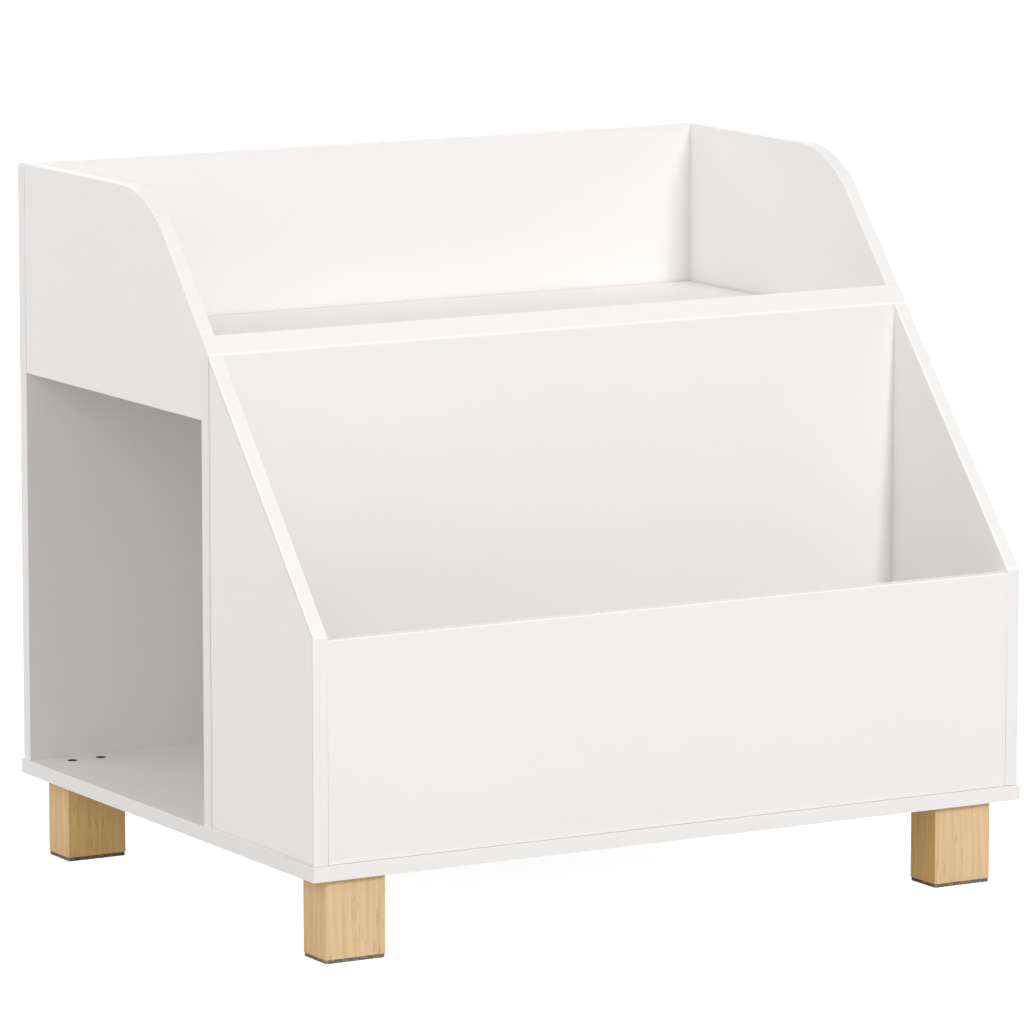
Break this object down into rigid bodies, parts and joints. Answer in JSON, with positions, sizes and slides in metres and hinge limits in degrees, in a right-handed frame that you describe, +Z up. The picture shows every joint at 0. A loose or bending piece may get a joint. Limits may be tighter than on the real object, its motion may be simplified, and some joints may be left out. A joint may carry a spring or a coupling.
{
  "type": "picture book browser bin",
  "caption": "White panel book browser with a slope-sided front bin for cover-out picture books, a raised tray with a back, an open cubby beneath and wooden block legs.",
  "frame": {"origin": "on the floor, under the middle of the bottom panel", "axes": "+Z up, +X to the right seen from the front, +Y from the front bin to the back panel"},
  "size_m": [0.643, 0.501, 0.5685],
  "materials": {
    "white_board": "satin white faced fibreboard with matching edge bands",
    "leg_wood": "clear satin lacquer on light solid wood, grain upright",
    "pad_felt": "dark pressed felt",
    "screw_steel": "zinc-plated steel",
    "cam_zinc": "dull die-cast zinc",
    "dowel_beech": "bare beech"
  },
  "bodies": {
    "root": {"bottom_panel": "white_board", "back_panel": "white_board", "divider_panel": "white_board", "front_panel": "white_board", "tray_floor": "white_board", "left_front_cheek": "white_board", "right_front_cheek": "white_board", "left_side_board": "white_board", "right_side_board": "white_board", "front_left_leg": "leg_wood", "front_right_leg": "leg_wood", "rear_left_leg": "leg_wood", "rear_right_leg": "leg_wood", "front_left_leg_pad": "pad_felt", "front_right_leg_pad": "pad_felt", "rear_left_leg_pad": "pad_felt", "rear_right_leg_pad": "pad_felt", "front_left_leg_screw_outer": "screw_steel", "front_left_leg_screw_inner": "screw_steel", "front_right_leg_screw_outer": "screw_steel", "front_right_leg_screw_inner": "screw_steel", "rear_left_leg_screw_outer": "screw_steel", "rear_left_leg_screw_inner": "screw_steel", "rear_right_leg_screw_outer": "screw_steel", "rear_right_leg_screw_inner": "screw_steel", "divider_bottom_screw_left": "screw_steel", "divider_bottom_screw_middle": "screw_steel", "divider_bottom_screw_right": "screw_steel", "back_bottom_screw_left": "screw_steel", "back_bottom_screw_middle": "screw_steel", "back_bottom_screw_right": "screw_steel", "front_panel_bottom_screw_left": "screw_steel", "front_panel_bottom_screw_right": "screw_steel", "left_cheek_bottom_screw": "screw_steel", "right_cheek_bottom_screw": "screw_steel", "left_board_back_screw_lower": "screw_steel", "left_board_back_screw_upper": "screw_steel", "right_board_back_screw_lower": "screw_steel", "right_board_back_screw_upper": "screw_steel", "left_board_front_screw_lower": "screw_steel", "left_board_front_screw_upper": "screw_steel", "right_board_front_screw_lower": "screw_steel", "right_board_front_screw_upper": "screw_steel", "tray_floor_back_screw_left": "screw_steel", "tray_floor_back_screw_right": "screw_steel", "tray_floor_left_cam": "cam_zinc", "tray_floor_right_cam": "cam_zinc", "left_cheek_cam": "cam_zinc", "right_cheek_cam": "cam_zinc", "front_panel_left_cam": "cam_zinc", "front_panel_right_cam": "cam_zinc", "tray_floor_left_cam_bolt": "screw_steel", "tray_floor_right_cam_bolt": "screw_steel", "left_cheek_cam_bolt": "screw_steel", "right_cheek_cam_bolt": "screw_steel", "front_panel_left_cam_bolt": "screw_steel", "front_panel_right_cam_bolt": "screw_steel", "left_cheek_dowel": "dowel_beech", "right_cheek_dowel": "dowel_beech"}
  },
  "joints": []
}
